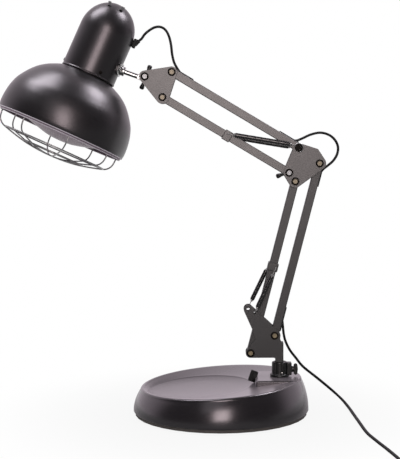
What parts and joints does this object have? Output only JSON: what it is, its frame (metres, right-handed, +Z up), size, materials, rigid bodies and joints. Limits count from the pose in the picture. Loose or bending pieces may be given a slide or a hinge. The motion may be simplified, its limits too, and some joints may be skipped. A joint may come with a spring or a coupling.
{
  "type": "heat lamp",
  "caption": "Heat lamp with a round weighted base, a sprung two part arm, and a bell shade with a wire guard.",
  "frame": {"origin": "centre of the round base on the surface that it stands on", "axes": "+Z up, +X from the centre of the base to the post; the arm swings in the XZ plane and -Y is the near side"},
  "size_m": [0.5459, 0.4084, 0.5137],
  "materials": {
    "black_paint": "satin black paint",
    "arm_paint": "satin charcoal paint",
    "upper_paint": "satin grey brown paint",
    "rubber": "black rubber",
    "dark_plastic": "black moulded plastic",
    "steel": "plain steel",
    "brass_steel": "yellow zinc plated steel",
    "chrome": "bright chrome",
    "spring_wire": "spring steel",
    "sleeve": "black sleeve",
    "guard_wire": "grey plated wire",
    "bulb_glass": "frosted glass",
    "ceramic": "white ceramic",
    "cord": "black cord"
  },
  "bodies": {
    "base": {"base_shell": "black_paint", "base_plate": "steel", "base_weight": "steel", "base_pad": "rubber", "post_socket": "dark_plastic", "socket_nut": "steel", "switch_body": "dark_plastic", "mains_cord": "cord", "cord_coil": "cord", "plug": "dark_plastic"},
    "switch_knob": {"switch_knob": "dark_plastic"},
    "clamp_screw": {"clamp_screw": "dark_plastic"},
    "swivel_bracket": {"near_bracket_plate": "arm_paint", "far_bracket_plate": "arm_paint", "swivel_pin": "black_paint", "front_foot_bolt": "brass_steel", "rear_foot_bolt": "brass_steel", "tail_cord": "cord"},
    "lower_rear_bar": {"lower_rear_bar": "arm_paint", "lower_arm_cord": "cord"},
    "lower_front_bar": {"lower_front_bar": "arm_paint", "lower_spring_collar": "arm_paint", "far_lower_spring": "spring_wire", "far_lower_sleeve": "sleeve", "near_lower_spring": "spring_wire", "near_lower_sleeve": "sleeve"},
    "elbow": {"near_elbow_plate": "upper_paint", "far_elbow_plate": "upper_paint", "elbow_top_bolt": "brass_steel", "elbow_lock_bolt": "brass_steel", "elbow_front_bolt": "brass_steel", "elbow_rear_bolt": "brass_steel"},
    "elbow_wing": {"elbow_wing_knob": "dark_plastic"},
    "upper_top_bar": {"upper_top_bar": "upper_paint", "upper_arm_cord": "cord"},
    "upper_bottom_bar": {"upper_bottom_bar": "upper_paint", "upper_spring_collar": "upper_paint", "near_upper_spring": "spring_wire", "near_upper_sleeve": "sleeve", "far_upper_spring": "spring_wire", "far_upper_sleeve": "sleeve"},
    "head_plate": {"near_head_plate": "upper_paint", "far_head_plate": "upper_paint", "head_top_bolt": "brass_steel", "head_low_bolt": "brass_steel", "tilt_bolt": "brass_steel"},
    "head_wing": {"head_wing_knob": "dark_plastic"},
    "tilt_link": {"tilt_rod": "chrome"},
    "head": {"rod_saddle": "chrome", "housing": "black_paint", "shade": "black_paint", "wire_guard": "guard_wire", "heat_bulb": "bulb_glass", "lamp_holder": "ceramic", "cord_grommet": "rubber", "shade_screw_1": "steel", "shade_screw_2": "steel", "shade_screw_3": "steel"}
  },
  "joints": [
    {"name": "swivel", "type": "hinge", "parent": "base", "child": "swivel_bracket", "pos_m": [0.074, 0, 0.0473], "axis": [0, 0, 1], "range_deg": [-170, 170]},
    {"name": "lower_arm_swing", "type": "hinge", "parent": "swivel_bracket", "child": "lower_rear_bar", "pos_m": [0.0676, 0, 0.0995], "axis": [0, -1, 0], "range_deg": [-16, 28], "deforming": ["tail_cord"]},
    {"name": "front_bar_swing", "type": "hinge", "parent": "swivel_bracket", "child": "lower_front_bar", "pos_m": [0.0375, 0, 0.0775], "axis": [0, -1, 0], "range_deg": [-16, 28], "deforming": ["far_lower_spring", "far_lower_sleeve", "near_lower_spring", "near_lower_sleeve"]},
    {"name": "elbow_turn", "type": "hinge", "parent": "lower_rear_bar", "child": "elbow", "pos_m": [0.12346, 0, 0.31394], "axis": [0, -1, 0], "range_deg": [-28, 16]},
    {"name": "upper_arm_swing", "type": "hinge", "parent": "elbow", "child": "upper_top_bar", "pos_m": [0.09766, 0, 0.33334], "axis": [0, -1, 0], "range_deg": [-45, 40], "deforming": ["lower_arm_cord"]},
    {"name": "bottom_bar_swing", "type": "hinge", "parent": "elbow", "child": "upper_bottom_bar", "pos_m": [0.08586, 0, 0.30264], "axis": [0, -1, 0], "range_deg": [-45, 40], "deforming": ["near_upper_spring", "near_upper_sleeve", "far_upper_spring", "far_upper_sleeve"]},
    {"name": "head_plate_turn", "type": "hinge", "parent": "upper_top_bar", "child": "head_plate", "pos_m": [-0.05822, 0, 0.4273], "axis": [0, -1, 0], "range_deg": [-40, 45]},
    {"name": "head_tilt", "type": "hinge", "parent": "head_plate", "child": "tilt_link", "pos_m": [-0.09151, 0, 0.4221], "axis": [0, -1, 0], "range_deg": [-50, 25], "deforming": ["upper_arm_cord"]},
    {"name": "head_swivel", "type": "hinge", "parent": "tilt_link", "child": "head", "pos_m": [-0.09245, 0, 0.41946], "axis": [0.9421, 0, -0.3355], "range_deg": [-80, 80]},
    {"name": "elbow_wing_spin", "type": "hinge", "parent": "elbow", "child": "elbow_wing", "pos_m": [0.08586, 0, 0.30264], "axis": [0, 1, 0], "continuous": true},
    {"name": "head_wing_spin", "type": "hinge", "parent": "head_plate", "child": "head_wing", "pos_m": [-0.09151, 0, 0.4221], "axis": [0, 1, 0], "continuous": true},
    {"name": "clamp_screw_spin", "type": "hinge", "parent": "base", "child": "clamp_screw", "pos_m": [0.074, 0, 0.0558], "axis": [1, 0, 0], "continuous": true},
    {"name": "switch_turn", "type": "hinge", "parent": "base", "child": "switch_knob", "pos_m": [0.041, 0, 0.0468], "axis": [-0.9455, 0, 0.3256], "range_deg": [-135, 135]}
  ],
  "couplings": [
    {"joint": "front_bar_swing", "follows": "lower_arm_swing", "ratio": 1},
    {"joint": "elbow_turn", "follows": "lower_arm_swing", "ratio": -1},
    {"joint": "bottom_bar_swing", "follows": "upper_arm_swing", "ratio": 1},
    {"joint": "head_plate_turn", "follows": "upper_arm_swing", "ratio": -1}
  ]
}
